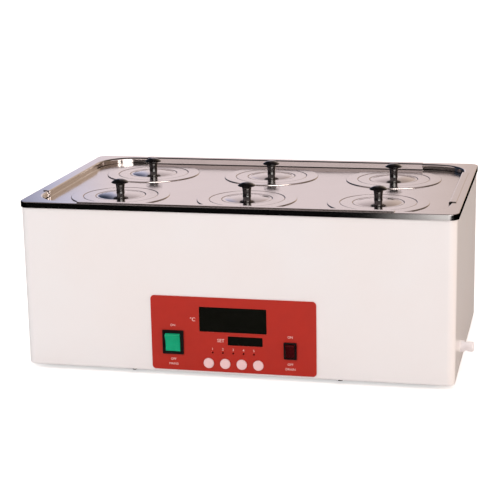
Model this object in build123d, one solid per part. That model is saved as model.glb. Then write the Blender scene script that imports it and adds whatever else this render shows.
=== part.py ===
from build123d import *
import os
from math import hypot, radians, tan

# Six-well bench water bath: painted case, stainless tank, ringed lid and front controls.
# Millimetres. X to the right, Y to the rear, Z up from the bench.
# The origin is the middle of the case's footprint, on the bench.

# Case
case_w = 512.0
case_d = 306.0
case_h = 200.0
case_lift = 6.0
case_sheet = 1.0
case_r = 10.0
bottom_bend_r = 2.0
bottom_return = 14.0
rear_return = 16.0
top_return = 5.0

# Base plate and feet
base_sheet = 1.2
base_clear = 1.2
foot_inset = 46.0
foot_top_r = 12.0
foot_tip_r = 10.5
foot_recess_r = 5.0
foot_recess_h = 3.6
middle_foot_top_r = 9.0
middle_foot_tip_r = 8.0

# Rear cover
cover_margin_x = 6.0
cover_margin_z = 6.0
cover_corner = 4.0
vent_l = 46.0
vent_w = 4.0
vent_gap = 18.0
vent_pitch = 12.0
vent_rows = 4
vent_columns = 3
vent_x = -46.0
vent_z = 59.0
base_vent_pitch = 24.0

# Screws: shank radius, head radius and head height
screw_r = 1.45
screw_head_r = 3.0
screw_head_h = 2.0
screw_l = 3.8
rear_screw_edge_x = 7.0
rear_screw_edge_z = 6.0
base_screw_x = 124.0
base_screw_y = 80.0
foot_screw_r = 1.9
foot_screw_head_r = 3.6
foot_screw_end = 1.0
foot_nut_r = 3.8
foot_nut_h = 3.2
hole_play = 0.15
thread_play = 0.05

# Tank
tank_sheet = 1.0
tank_room_h = 102.0
tank_floor_r = 14.0
flange_over = 1.5
flange_land_x = 15.0
flange_land_y = 11.0
opening_r = 42.0
brim_r = 3.0
lip_h = 7.0
lip_bend_r = 1.8
pick_band = 0.1

# Heat insulation
mat_play = 0.3
mat_case_gap = 2.0
mat_floor = 14.0
mat_hole_r = 17.0
mat_top_gap = 6.0

# Lid plate, hung on the flange by four folded strips
lid_sheet = 1.0
lid_drop = 7.0
lid_gap = 1.5
strip_gap = 0.5
strip_reach = 8.0
strip_foot = 6.0
strip_bend_r = 1.5
side_strip_l = 180.0
long_strip_end = 55.0

# Wells: rings, covers and knobs
well_spare_x = 9.5
well_columns = 3
well_pitch_y = 142.0
ring_sheet = 1.0
ring_step = 1.2
ring_play = 0.6
ring_chamfer = 0.4
outer_ring_d = 120.0
inner_ring_d = 90.0
cover_d = 60.0
cover_ledge = 9.0
cover_rim = 2.5
cover_rise = 3.0
cover_shoulder_r = 19.5
cover_shoulder_rise = 1.6
cover_land_r = 8.5
knob_base_r = 5.8
knob_base_t = 0.8
knob_foot_r = 4.7
knob_foot_h = 1.8
knob_neck_r = 5.6
knob_neck_h = 11.5
knob_cap_r = 10.7
knob_cap_slope = 0.8
knob_cap_edge = 0.9
knob_crown_r = 7.2
knob_crown_h = 16.3
knob_tip_r = 3.0
knob_h = 17.4
knob_stud_r = 1.9
knob_stud_l = 9.0
knob_hole_spare = 1.0

# Shelf over the heater
shelf_gap = 16.0
shelf_h = 28.0
shelf_sheet = 1.0
shelf_hole_r = 14.0
shelf_pitch = 58.0
shelf_edge = 24.0

# Heater, probe and their fittings in the tank floor
heater_r = 4.0
heater_h = 19.0
heater_bend_r = 14.0
heater_turn_r = 22.0
heater_edge_x = 37.5
heater_loop_l = 55.0
heater_y = 75.0
heater_inner_y = 25.0
heater_tail = 24.0
probe_r = 3.0
probe_tip = 1.5
probe_x = 60.0
probe_rise = 20.0
fitting_wall = 2.4
fitting_flange_h = 3.0
fitting_flange_w = 4.5
fitting_thread_h = 9.0
fitting_nut_h = 5.0
fitting_nut_w = 3.5
cutout_r = 9.0
cutout_h = 8.0
cutout_blade_t = 0.8
cutout_blade_w = 6.0
cutout_blade_l = 7.0

# Drain
nozzle_y = -72.0
nozzle_h = 23.3
nozzle_bore_r = 3.0
nozzle_tail_r = 6.0
collar_r = 6.7
collar_l = 4.5
neck_r = 5.2
neck_l = 3.5
barb_r = 6.1
barb_l = 7.4
barb_round = 2.0
nozzle_nut_r = 10.5
nozzle_nut_l = 4.0
valve_w = 26.0
valve_under = 10.0
valve_gap = 14.0
coil_r = 13.0
coil_h = 30.0
coil_edge = 1.5
port_l = 11.0
hose_wall = 2.3
hose_bend_r = 20.0
hose_play = 0.1
stub_inset = 78.0
stub_l = 22.0
stub_wall = 1.5

# Front panel, measured from its middle
panel_w = 197.0
panel_h = 90.0
panel_r = 4.5
panel_t = 1.0
panel_x = -0.8
panel_rise = 48.0
panel_play = 0.2
display_r = 0.8
display_w = 80.0
display_h = 29.6
display_z = 18.3
setpoint_w = 41.2
setpoint_h = 10.6
setpoint_x = 14.5
setpoint_z = -6.6
display_sink = 0.4
lamp_r = 1.1
lamp_count = 5
lamp_proud = 0.1
lamp_pitch = 12.35
lamp_z = -21.7
lamp_play = 0.1
key_r = 6.1
key_pitch = 19.8
key_z = -34.9
key_proud = 0.9
key_play = 0.3
key_flange_r = 7.3
key_flange_t = 1.2
key_edge = 0.4
key_gap = 1.0
key_switch_w = 6.0
key_switch_h = 3.5
plunger_r = 1.75
plunger_h = 1.4

# Controller board
board_w = 94.0
board_h = 80.0
board_z = -3.0
board_t = 1.6
board_gap = 8.0
spacer_r = 2.5
spacer_inset = 3.5

# Rocker switches: bezel, rocker and pivot
power_x = -72.2
power_z = -11.0
power_bezel_w = 25.5
power_bezel_h = 29.0
power_rocker_w = 17.6
power_rocker_h = 20.0
outlet_x = 67.9
outlet_z = -15.1
outlet_bezel_w = 15.2
outlet_bezel_h = 20.2
outlet_rocker_w = 10.4
outlet_rocker_h = 14.6
bezel_t = 2.0
bezel_lip = 0.8
bezel_round = 0.8
bezel_edge = 0.4
rocker_play = 0.3
rocker_tilt = 10.0
rocker_valley = 2.4
rocker_proud = 0.3
rocker_back = 2.5
pivot_r = 1.2
pivot_play = 0.05
pivot_l = 0.7
switch_depth = 20.0

# Mains cord gland and fuse in the rear cover
gland_inset = 56.0
gland_rise = 34.0
gland_bore_r = 4.5
gland_thread_r = 8.0
gland_nut_r = 12.0
gland_nut_l = 5.0
gland_out = 20.0
gland_in = 8.0
gland_dome_r = 11.0
gland_dome_edge = 3.5
gland_dome_t = 2.0
fuse_gap_x = 35.0
fuse_body_r = 6.3
fuse_flange_r = 8.6
fuse_flange_t = 2.0
fuse_body_l = 26.0
fuse_bore_r = 4.5
fuse_floor = 2.0
fuse_stem_l = 21.0
fuse_stem_play = 0.05
fuse_cap_r = 6.8
fuse_cap_l = 7.0
fuse_cap_edge = 0.8
fuse_slot_w = 1.6
fuse_slot_h = 1.5
fuse_gap = 0.3

# Parts that stand on the base plate
supply_offset = 105.0
supply_y = 60.0
supply_w = 92.0
supply_d = 62.0
supply_h = 34.0
supply_wall = 1.5
supply_ledge_w = 10.5
supply_ledge_h = 17.0
supply_slots = 6
supply_slot_pitch = 8.0
supply_slot_l = 46.0
supply_slot_w = 3.0
supply_slot_h = 1.0
sink_inset = 91.0
sink_y = 60.0
sink_w = 62.0
sink_d = 80.0
sink_base = 5.0
sink_fin_h = 22.0
sink_fin_t = 2.0
sink_fins = 8
relay_w = 45.0
relay_d = 58.0
relay_h = 20.0
relay_notch_w = 10.0
relay_notch_h = 8.0
strip_block_offset = 150.0
strip_block_y = 95.0
strip_block_w = 72.0
strip_block_d = 20.0
strip_block_h = 15.0
strip_block_ways = 6
strip_block_slot = 1.6
strip_block_cut = 8.0

# Heights and faces worked out from the sizes above
case_top = case_lift + case_h - tank_sheet
top_z = case_lift + case_h
floor_z = case_lift + tank_room_h
base_z = case_lift + case_sheet
base_top = base_z + base_sheet
front_y = -case_d / 2
rear_y = case_d / 2
side_x = case_w / 2
inner_front = front_y + case_sheet
flange_w = case_w + 2 * flange_over
flange_d = case_d + 2 * flange_over
opening_w = flange_w - 2 * flange_land_x
opening_d = flange_d - 2 * flange_land_y
lid_z = top_z - lid_drop
lid_w = opening_w - 2 * lid_gap
long_strip_l = lid_w - 2 * long_strip_end
well_pitch_x = (lid_w - well_spare_x) / well_columns
heater_x = opening_w / 2 - heater_edge_x
heater_inner_x = heater_x - heater_loop_l
stub_x = side_x - stub_inset
gland_x = side_x - gland_inset
fuse_x = gland_x - fuse_gap_x
sink_x = sink_inset - side_x
supply_x = sink_x + supply_offset
strip_block_x = supply_x + strip_block_offset
panel_z = case_lift + panel_rise
panel_y = front_y - panel_t
nozzle_z = case_lift + nozzle_h
tank_under = floor_z - tank_sheet
mat_under = tank_under - mat_floor
board_y = inner_front + board_gap
shelf_z = floor_z + shelf_h - shelf_sheet
outer_seat_r = inner_ring_d / 2 + ring_play
inner_seat_r = cover_d / 2 + ring_play
well_hole_r = outer_seat_r + ring_sheet + ring_play
inner_hole_r = inner_seat_r + ring_sheet + ring_play
cover_hole_r = inner_seat_r - cover_ledge
outer_ring_z = lid_z
inner_ring_z = outer_ring_z + ring_sheet - ring_step
cover_z = inner_ring_z + ring_sheet - ring_step
knob_z = cover_z + ring_sheet + cover_rise

columns = {"left": -well_pitch_x, "middle": 0.0, "right": well_pitch_x}
rows = {"front": -well_pitch_y / 2, "rear": well_pitch_y / 2}
wells = {f"{row}_{col}": (x, y) for row, y in rows.items() for col, x in columns.items()}
key_names = ("set", "left", "down", "up")
key_offsets = {name: (i - 1.5) * key_pitch for i, name in enumerate(key_names)}
foot_spots = [(sx * (side_x - foot_inset), sy * (rear_y - foot_inset)) for sx in (-1, 1) for sy in (-1, 1)]
heater_ends = [(-heater_x, -heater_y), (-heater_x, heater_y)]
lamp_spots = [panel_x + (i - (lamp_count - 1) / 2) * lamp_pitch for i in range(lamp_count)]


# Helpers

def block(x0, x1, y0, y1, z0, z1):
    return Pos((x0 + x1) / 2, (y0 + y1) / 2, (z0 + z1) / 2) * Box(x1 - x0, y1 - y0, z1 - z0)


def tray_block(w, d, r, z0, z1):
    return Pos(0, 0, z0) * extrude(RectangleRounded(w, d, r), z1 - z0)


def rod_x(y, z, r, x0, x1):
    return Pos((x0 + x1) / 2, y, z) * Rot(0, 90, 0) * Cylinder(r, x1 - x0)


def rod_y(x, z, r, y0, y1):
    return Pos(x, (y0 + y1) / 2, z) * Rot(90, 0, 0) * Cylinder(r, y1 - y0)


def rod_z(x, y, r, z0, z1):
    return Pos(x, y, (z0 + z1) / 2) * Cylinder(r, z1 - z0)


def front_plate(x, z, w, h, r, y0, y1):
    """A plate parallel to the front, rounded at its four corners, from y0 back to y1."""
    return Pos(x, y1, z) * extrude(Plane.XZ * RectangleRounded(w, h, r), y1 - y0)


def front_block(x, z, w, h, y0, y1):
    """A square-cornered block given by its middle in the front, from y0 back to y1."""
    return block(x - w / 2, x + w / 2, y0, y1, z - h / 2, z + h / 2)


def turned(*edges):
    """A solid turned about Z from edges drawn as (radius, height)."""
    return revolve(Plane.XZ * make_face(edges), Axis.Z)


def group(*items):
    """Separate solids kept apart in one node."""
    return Compound([solid for item in items for solid in item.solids()])


def hex_nut(r, bore_r, h):
    """A hexagon nut along Z from 0 to h, r over its corners."""
    return extrude(RegularPolygon(r, 6), h) - rod_z(0, 0, bore_r, 0, h)


def panel_holes(y0, y1):
    """Everything that comes through the front: displays, lamps, keys and switches."""
    play = panel_play
    r = display_r + play
    cut = front_plate(panel_x, panel_z + display_z, display_w + 2 * play, display_h + 2 * play, r, y0, y1)
    cut += front_plate(panel_x + setpoint_x, panel_z + setpoint_z,
                       setpoint_w + 2 * play, setpoint_h + 2 * play, r, y0, y1)
    for name in key_names:
        cut += rod_y(panel_x + key_offsets[name], panel_z + key_z, key_r + key_play, y0, y1)
    for x in lamp_spots:
        cut += rod_y(x, panel_z + lamp_z, lamp_r + lamp_play, y0, y1)
    for x, z, w, h in switch_spots.values():
        cut += front_block(panel_x + x, panel_z + z, w, h, y0, y1)
    return cut


def switch_body(bezel_w, bezel_h):
    """The switch's body behind its bezel, and the hole that takes it."""
    return bezel_w - 2 * bezel_lip, bezel_h - 2 * bezel_lip


switch_spots = {
    "power": (power_x, power_z, *switch_body(power_bezel_w, power_bezel_h)),
    "outlet": (outlet_x, outlet_z, *switch_body(outlet_bezel_w, outlet_bezel_h)),
}


# Case

def rear_screw_spots():
    x = side_x - cover_margin_x - rear_screw_edge_x
    low = case_lift + cover_margin_z + rear_screw_edge_z
    high = case_top - cover_margin_z - rear_screw_edge_z
    return [(sx * x, z) for sx in (-1, 1) for z in (low, (low + high) / 2, high)]


def base_screw_spots():
    x = side_x - bottom_return / 2
    y = rear_y - bottom_return / 2
    spots = [(x, base_screw_y), (base_screw_x, y)]
    return [(sx * px, sy * py) for px, py in spots for sx in (-1, 1) for sy in (-1, 1)]


def outer_case():
    t = case_sheet
    case = tray_block(case_w, case_d, case_r, case_lift, case_top)
    case = fillet(case.faces().sort_by(Axis.Z)[0].edges(), bottom_bend_r)
    inside = tray_block(case_w - 2 * t, case_d - 2 * t, case_r - t, base_z, case_top - t)
    inside = fillet(inside.faces().sort_by(Axis.Z)[0].edges(), bottom_bend_r - t)
    case -= inside
    case -= tray_block(case_w - 2 * bottom_return, case_d - 2 * bottom_return, case_r, case_lift, base_z)
    case -= tray_block(case_w - 2 * (t + top_return), case_d - 2 * (t + top_return), case_r,
                       case_top - t, case_top)
    x = side_x - case_r - rear_return
    case -= block(-x, x, rear_y - t, rear_y, base_z, case_top - t)
    case -= panel_holes(front_y, inner_front)
    case -= rod_x(nozzle_y, nozzle_z, nozzle_tail_r + hole_play, side_x - t, side_x)
    for x, z in rear_screw_spots():
        case -= rod_y(x, z, screw_r + hole_play, rear_y - t, rear_y)
    for x, y in base_screw_spots():
        case -= rod_z(x, y, screw_r + hole_play, case_lift, base_z)
    return case


def rear_cover():
    w = case_w - 2 * cover_margin_x
    z0 = case_lift + cover_margin_z
    z1 = case_top - cover_margin_z
    cover = front_plate(0, (z0 + z1) / 2, w, z1 - z0, cover_corner, rear_y, rear_y + case_sheet)
    for i in range(vent_columns):
        for j in range(vent_rows):
            x = vent_x + (i - (vent_columns - 1) / 2) * (vent_l + vent_gap)
            z = vent_z + (j - (vent_rows - 1) / 2) * vent_pitch
            slot = Plane.XZ * SlotOverall(vent_l, vent_w)
            cover -= Pos(x, rear_y + case_sheet, z) * extrude(slot, case_sheet)
    for x, z in rear_screw_spots():
        cover -= rod_y(x, z, screw_r + hole_play, rear_y, rear_y + case_sheet)
    z = case_lift + gland_rise
    cover -= rod_y(gland_x, z, gland_thread_r + hole_play, rear_y, rear_y + case_sheet)
    cover -= rod_y(fuse_x, z, fuse_body_r + hole_play, rear_y, rear_y + case_sheet)
    return cover


def base_plate():
    w = case_w - 2 * (case_sheet + base_clear)
    d = case_d - 2 * (case_sheet + base_clear)
    plate = tray_block(w, d, case_r - case_sheet, base_z, base_top)
    for x, y in foot_spots:
        plate -= rod_z(x, y, foot_screw_r + hole_play, base_z, base_top)
    for x, y in base_screw_spots():
        plate -= rod_z(x, y, screw_r + hole_play, base_z, base_top)
    for i in range(vent_rows):
        slot = extrude(SlotOverall(vent_l, vent_w), base_sheet)
        plate -= Pos(0, (i - (vent_rows - 1) / 2) * base_vent_pitch, base_z) * slot
    return plate


def case_screws():
    """Pan head screws of the rear cover, the base plate and the feet, with the feet's nuts."""
    y = rear_y + case_sheet
    rear = [rod_y(x, z, screw_head_r, y, y + screw_head_h) + rod_y(x, z, screw_r, y - screw_l, y)
            for x, z in rear_screw_spots()]
    base = [rod_z(x, y, screw_head_r, case_lift - screw_head_h, case_lift)
            + rod_z(x, y, screw_r, case_lift, case_lift + screw_l) for x, y in base_screw_spots()]
    head_z = foot_recess_h - screw_head_h
    foot = rod_z(0, 0, foot_screw_head_r, head_z, foot_recess_h)
    foot += rod_z(0, 0, foot_screw_r, foot_recess_h, base_top + foot_nut_h + foot_screw_end)
    nut = Pos(0, 0, base_top) * hex_nut(foot_nut_r, foot_screw_r + thread_play, foot_nut_h)
    feet = [Pos(x, y, 0) * part for x, y in foot_spots for part in (foot, nut)]
    return group(*rear, *base, *feet)


def rubber_feet():
    """Four screwed feet and a plain pad under the middle of the base plate."""
    foot = turned(Polyline((foot_screw_r + hole_play, base_z), (foot_top_r, base_z), (foot_tip_r, 0),
                           (foot_recess_r, 0), (foot_recess_r, foot_recess_h),
                           (foot_screw_r + hole_play, foot_recess_h), close=True))
    middle = turned(Polyline((0, base_z), (middle_foot_top_r, base_z), (middle_foot_tip_r, 0), (0, 0),
                             close=True))
    return group(middle, *[Pos(x, y, 0) * foot for x, y in foot_spots])


# Tank

def floor_fitting_spots():
    """Where the heater's ends and the probe pass the tank floor, with the radius of each."""
    return [(x, y, heater_r) for x, y in heater_ends] + [(probe_x, 0.0, probe_r)]


def tank():
    t = tank_sheet
    wall = tray_block(opening_w + 2 * t, opening_d + 2 * t, opening_r + t, tank_under, top_z)
    wall = fillet(wall.faces().sort_by(Axis.Z)[0].edges(), tank_floor_r + t)
    flange = tray_block(flange_w, flange_d, case_r + flange_over, top_z - lip_h, top_z)
    flange -= tray_block(flange_w - 2 * t, flange_d - 2 * t, case_r + flange_over - t,
                         top_z - lip_h, top_z - t)
    body = wall + flange
    flat = body.faces().filter_by(Axis.Z)
    under = flat.filter_by_position(Axis.Z, top_z - t - pick_band, top_z - t + pick_band)[0]
    body = fillet(under.inner_wires()[0].edges(), brim_r - t)
    body = fillet(body.faces().sort_by(Axis.Z)[-1].outer_wire().edges(), lip_bend_r)
    cavity = tray_block(opening_w, opening_d, opening_r, floor_z, top_z)
    cavity = fillet(cavity.faces().sort_by(Axis.Z)[0].edges(), tank_floor_r)
    body -= cavity
    body = fillet(body.faces().sort_by(Axis.Z)[-1].inner_wires()[0].edges(), brim_r)
    for x, y, r in floor_fitting_spots():
        body -= rod_z(x, y, r + fitting_wall + hole_play, tank_under, floor_z)
    body += rod_z(stub_x, nozzle_y, nozzle_tail_r, tank_under - stub_l, tank_under)
    return body - rod_z(stub_x, nozzle_y, nozzle_tail_r - stub_wall, tank_under - stub_l, floor_z)


def insulation():
    play = mat_play
    gap = case_sheet + mat_case_gap
    mat = tray_block(case_w - 2 * gap, case_d - 2 * gap,
                     case_r - case_sheet, mat_under, case_top - mat_top_gap)
    core = tray_block(opening_w + 2 * (tank_sheet + play), opening_d + 2 * (tank_sheet + play),
                      opening_r + tank_sheet + play, tank_under, case_top - mat_top_gap)
    mat -= core
    for x, y, _ in floor_fitting_spots():
        mat -= rod_z(x, y, mat_hole_r, mat_under, tank_under)
    mat -= rod_z(stub_x, nozzle_y, mat_hole_r, mat_under, tank_under)
    return mat - rod_z(0, heater_y, mat_hole_r, mat_under, tank_under)


def tank_shelf():
    """Perforated shelf, folded down along its four sides to stand on the tank floor."""
    w = opening_w - 2 * shelf_gap
    d = opening_d - 2 * shelf_gap
    t = shelf_sheet
    shelf = tray_block(w, d, opening_r - shelf_gap, floor_z, shelf_z + t)
    shelf -= tray_block(w - 2 * t, d - 2 * t, opening_r - shelf_gap - t, floor_z, shelf_z)
    x = w / 2 - opening_r
    y = d / 2 - opening_r
    shelf -= block(-x, x, -d / 2, d / 2, floor_z, shelf_z - t)
    shelf -= block(-w / 2, w / 2, -y, y, floor_z, shelf_z - t)
    reach = shelf_hole_r + shelf_edge
    columns_of_holes = int((w - 2 * reach) / shelf_pitch) + 1
    rows_of_holes = int((d - 2 * reach) / shelf_pitch) + 1
    for i in range(columns_of_holes):
        for j in range(rows_of_holes):
            hole_x = (i - (columns_of_holes - 1) / 2) * shelf_pitch
            hole_y = (j - (rows_of_holes - 1) / 2) * shelf_pitch
            shelf -= rod_z(hole_x, hole_y, shelf_hole_r, shelf_z, shelf_z + t)
    return shelf


def heater():
    """Bent tube: two long loops, with both ends turned down through the floor."""
    z = floor_z + heater_h
    tail = tank_under - heater_tail
    x, y = heater_x, heater_y
    x1, y1 = heater_inner_x, heater_inner_y
    points = [(-x, -y, tail), (-x, -y, z), (x, -y, z), (x, -y1, z), (-x1, -y1, z),
              (-x1, y1, z), (x, y1, z), (x, y, z), (-x, y, z), (-x, y, tail)]
    radii = [heater_bend_r] + [heater_turn_r] * 6 + [heater_bend_r]
    path = FilletPolyline(*points, radius=radii)
    return sweep(Plane(points[0]) * Circle(heater_r), path=path.wire(), transition=Transition.ROUND)


def floor_fittings():
    """A flanged bush above each hole in the tank floor and its nut below."""
    parts = []
    for x, y, r in floor_fitting_spots():
        bore = r + hole_play
        thread = r + fitting_wall
        bush = rod_z(x, y, thread + fitting_flange_w, floor_z, floor_z + fitting_flange_h)
        bush += rod_z(x, y, thread, tank_under - fitting_thread_h, floor_z)
        bush -= rod_z(x, y, bore, tank_under - fitting_thread_h, floor_z + fitting_flange_h)
        nut = hex_nut(thread + fitting_nut_w, thread + thread_play, fitting_nut_h)
        parts += [bush, Pos(x, y, tank_under - fitting_nut_h) * nut]
    return group(*parts)


def temperature_probe():
    sheath = rod_z(probe_x, 0, probe_r, tank_under - heater_tail, floor_z + probe_rise)
    return chamfer(sheath.faces().sort_by(Axis.Z)[-1].edges(), probe_tip)


def thermal_cutout():
    body = rod_z(0, heater_y, cutout_r, tank_under - cutout_h, tank_under)
    for side in (-1, 1):
        blade = Box(cutout_blade_t, cutout_blade_w, cutout_blade_l)
        body += Pos(side * cutout_r / 2, heater_y, tank_under - cutout_h - cutout_blade_l / 2) * blade
    return body


# Lid and wells

def folded_strip(length, half_opening):
    """One hanging strip along Y at +X: up the tank wall, then out over the flange."""
    mid = lid_sheet / 2
    web = half_opening - strip_gap - mid
    line = FilletPolyline((web - strip_foot, lid_z - mid), (web, lid_z - mid), (web, top_z + mid),
                          (web + strip_reach, top_z + mid), radius=strip_bend_r)
    profile = trace(line, lid_sheet)
    return extrude(Plane.XZ * profile, length / 2, both=True)


def lid_plate():
    w = opening_w - 2 * lid_gap
    d = opening_d - 2 * lid_gap
    plate = tray_block(w, d, opening_r - lid_gap, lid_z - lid_sheet, lid_z)
    bend = strip_bend_r + lid_sheet + strip_gap
    x = opening_w / 2 - bend
    y = opening_d / 2 - bend
    for side in (-1, 1):
        plate -= Pos(side * (x + w), 0, lid_z) * Box(2 * w, side_strip_l, 4 * lid_sheet)
        plate -= Pos(0, side * (y + d), lid_z) * Box(long_strip_l, 2 * d, 4 * lid_sheet)
    side_strip = folded_strip(side_strip_l, opening_w / 2)
    long_strip = folded_strip(long_strip_l, opening_d / 2)
    for turn, strip in ((0, side_strip), (90, long_strip), (180, side_strip), (270, long_strip)):
        plate += Rot(0, 0, turn) * strip
    for x, y in wells.values():
        plate -= rod_z(x, y, well_hole_r, lid_z - lid_sheet, lid_z)
    return plate


def stepped_ring(outer_r, seat_r, inner_r, z):
    """A ring that lies on the part below it, stepped down inside to seat the next one."""
    t = ring_sheet
    c = ring_chamfer
    seat_z = z + t - ring_step
    return turned(Polyline((outer_r, z), (outer_r, z + t - c), (outer_r - c, z + t), (seat_r + c, z + t),
                           (seat_r, z + t - c), (seat_r, seat_z), (inner_r, seat_z), (inner_r, seat_z - t),
                           (seat_r + t, seat_z - t), (seat_r + t, z), close=True))


def outer_ring():
    return stepped_ring(outer_ring_d / 2, outer_seat_r, inner_hole_r, outer_ring_z)


def inner_ring():
    return stepped_ring(inner_ring_d / 2, inner_seat_r, cover_hole_r, inner_ring_z)


def well_cover():
    """Small round cover: flat rim, stepped crown, flat land and the stud that holds the knob."""
    r = cover_d / 2
    rim = r - cover_rim
    t = ring_sheet
    c = ring_chamfer
    z = cover_z
    shoulder = z + cover_shoulder_rise
    top = z + cover_rise
    stud_top = knob_z + knob_stud_l
    return turned(Polyline(
        (rim, z), (r, z), (r, z + t - c), (r - c, z + t), (rim, z + t), (cover_shoulder_r, shoulder + t),
        (cover_land_r, top + t), (knob_stud_r, top + t), (knob_stud_r, stud_top), (0, stud_top), (0, top),
        (cover_land_r, top), (cover_shoulder_r, shoulder), close=True))


def knob():
    """Mushroom knob: base flange, tapered stem and a thin-edged crowned cap."""
    z = knob_z
    under = z + knob_neck_h + knob_cap_slope
    hole = knob_stud_r + thread_play
    depth = z + knob_stud_l + knob_hole_spare
    return turned(Polyline(
        (0, depth), (hole, depth), (hole, z), (knob_base_r, z), (knob_base_r, z + knob_base_t),
        (knob_foot_r, z + knob_foot_h), (knob_neck_r, z + knob_neck_h), (knob_cap_r, under),
        (knob_cap_r, under + knob_cap_edge), (knob_crown_r, z + knob_crown_h), (knob_tip_r, z + knob_h),
        (0, z + knob_h), close=True))


# Drain

def drain_nozzle():
    """Hose nozzle: tail through the case, collar, neck and rounded barb, and its nut inside."""
    inside = side_x - valve_gap
    barb = rod_x(nozzle_y, nozzle_z, barb_r, side_x + collar_l + neck_l, side_x + collar_l + neck_l + barb_l)
    barb = fillet(barb.faces().sort_by(Axis.X)[-1].edges(), barb_round)
    nozzle = rod_x(nozzle_y, nozzle_z, nozzle_tail_r, inside, side_x)
    nozzle += rod_x(nozzle_y, nozzle_z, collar_r, side_x, side_x + collar_l)
    nozzle += rod_x(nozzle_y, nozzle_z, neck_r, side_x + collar_l, side_x + collar_l + neck_l) + barb
    nozzle -= rod_x(nozzle_y, nozzle_z, nozzle_bore_r, inside, side_x + collar_l + neck_l + barb_l)
    nut = hex_nut(nozzle_nut_r, nozzle_tail_r + hole_play, nozzle_nut_l)
    return group(nozzle, Pos(side_x - case_sheet - nozzle_nut_l, nozzle_y, nozzle_z) * Rot(0, 90, 0) * nut)


def drain_valve():
    """Solenoid valve: body with a hose port, and the coil on top."""
    x1 = side_x - valve_gap
    x0 = x1 - valve_w
    half = valve_w / 2
    body = block(x0, x1, nozzle_y - half, nozzle_y + half, nozzle_z - valve_under, nozzle_z + half)
    body += rod_x(nozzle_y, nozzle_z, nozzle_tail_r, x0 - port_l, x0)
    body -= rod_x(nozzle_y, nozzle_z, nozzle_bore_r, x0 - port_l, x1)
    coil = rod_z((x0 + x1) / 2, nozzle_y, coil_r, nozzle_z + half, nozzle_z + half + coil_h)
    return group(body, chamfer(coil.faces().sort_by(Axis.Z)[-1].edges(), coil_edge))


def drain_hose():
    """Hose from the tank's stub down and along to the valve's port."""
    x1 = side_x - valve_gap - valve_w
    points = [(stub_x, nozzle_y, mat_under), (stub_x, nozzle_y, nozzle_z), (x1, nozzle_y, nozzle_z)]
    path = FilletPolyline(*points, radius=hose_bend_r).wire()
    bore = nozzle_tail_r + hose_play
    start = Plane(points[0])
    return sweep(start * Circle(bore + hose_wall), path=path) - sweep(start * Circle(bore), path=path)


# Front controls

def control_panel():
    plate = front_plate(panel_x, panel_z, panel_w, panel_h, panel_r, panel_y, front_y)
    return plate - panel_holes(panel_y, front_y)


def display(x, z, w, h):
    return front_plate(panel_x + x, panel_z + z, w, h, display_r, panel_y + display_sink, board_y)


def indicator_lamps():
    return group(*[rod_y(x, panel_z + lamp_z, lamp_r, panel_y - lamp_proud, board_y) for x in lamp_spots])


def key(name):
    """Round key: cap through the panel, flange behind the case's front."""
    x = panel_x + key_offsets[name]
    z = panel_z + key_z
    cap = rod_y(x, z, key_r, panel_y - key_proud, inner_front)
    cap = chamfer(cap.faces().sort_by(Axis.Y)[0].edges(), key_edge)
    back = inner_front + key_flange_t
    cap += rod_y(x, z, key_flange_r, inner_front, back)
    return cap + rod_y(x, z, plunger_r, back, board_y - key_switch_h - plunger_h - key_gap)


def controller_board():
    """Circuit board on four spacers, with one small push switch behind each key."""
    z = panel_z + board_z
    parts = [front_block(panel_x, z, board_w, board_h, board_y, board_y + board_t)]
    top = board_y - key_switch_h
    for name in key_names:
        x = panel_x + key_offsets[name]
        switch = front_block(x, panel_z + key_z, key_switch_w, key_switch_w, top, board_y)
        parts.append(switch + rod_y(x, panel_z + key_z, plunger_r, top - plunger_h, top))
    spacer = rod_y(0, 0, spacer_r, inner_front, board_y)
    screw = rod_y(0, 0, spacer_r, board_y + board_t, board_y + board_t + screw_head_h)
    for x in (-board_w / 2 + spacer_inset, board_w / 2 - spacer_inset):
        for dz in (-board_h / 2 + spacer_inset, board_h / 2 - spacer_inset):
            parts += [Pos(panel_x + x, 0, z + dz) * part for part in (spacer, screw)]
    return group(*parts)


def pivot_y():
    """The rocker's pivot, so deep that its pressed half stands slightly proud of the bezel."""
    return panel_y - bezel_t - rocker_proud + rocker_valley


def rocker_reach(h):
    """Distance of the rocker's front corners from its pivot."""
    return hypot(h / 2, rocker_valley + h / 2 * tan(radians(rocker_tilt)))


def rocker(x, z, w, h):
    """Rocker with a shallow valley between its halves and a pin each side, lower half pressed."""
    half = h / 2
    nose = rocker_valley + half * tan(radians(rocker_tilt))
    reach = rocker_reach(h)
    back_z = (reach ** 2 - rocker_back ** 2) ** 0.5
    outline = make_face([
        Polyline((rocker_back, back_z), (rocker_back, -back_z)),
        ThreePointArc((rocker_back, -back_z), (0, -reach), (-nose, -half)),
        Polyline((-nose, -half), (-rocker_valley, 0), (-nose, half)),
        ThreePointArc((-nose, half), (0, reach), (rocker_back, back_z))])
    body = extrude(Plane.YZ * outline, w / 2, both=True)
    body += rod_x(0, 0, pivot_r, -w / 2 - rocker_play - pivot_l, w / 2 + rocker_play + pivot_l)
    return Pos(panel_x + x, pivot_y(), panel_z + z) * Rot(rocker_tilt, 0, 0) * body


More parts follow.
